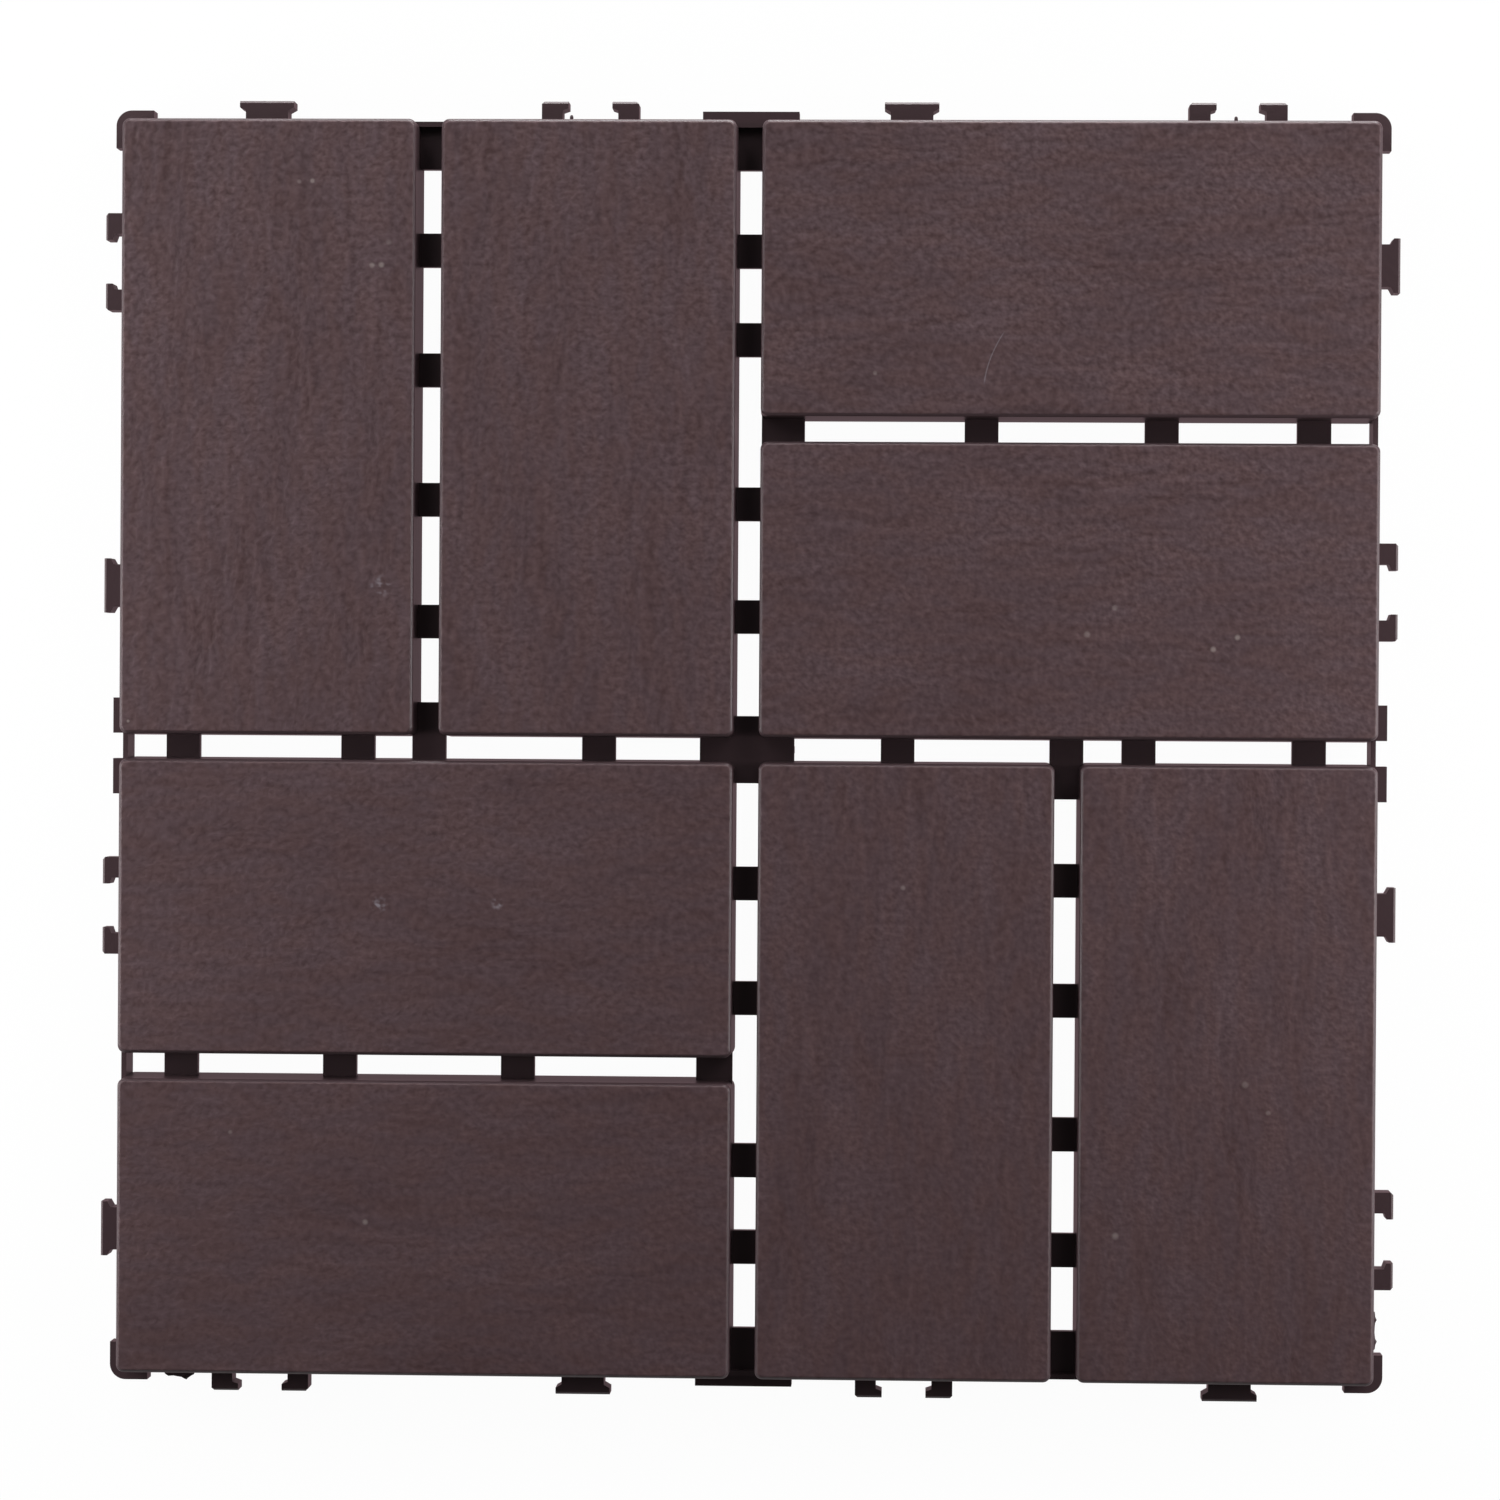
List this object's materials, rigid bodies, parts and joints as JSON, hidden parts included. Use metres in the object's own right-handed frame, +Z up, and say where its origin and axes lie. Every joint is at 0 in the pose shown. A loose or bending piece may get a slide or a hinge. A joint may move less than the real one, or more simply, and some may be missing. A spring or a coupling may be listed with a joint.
{
  "type": "interlocking deck tile",
  "caption": "Square one-piece plastic deck tile with grained slats in a pinwheel, low straps across open drain gaps, and clip tabs and hooks on every side.",
  "frame": {"origin": "below the middle of the tile, on the plane of the feet's undersides", "axes": "+Z up through the deck; +X and +Y along the tile's sides, with the slats of the quarter where X and Y are both positive running along X; +Y is the top of the picture"},
  "size_m": [0.3044, 0.3044, 0.019],
  "materials": {
    "brown_plastic": "matte brown polypropylene with a fine embossed grain on the slats"
  },
  "bodies": {
    "root": {"deck_tile": "brown_plastic"}
  },
  "joints": []
}
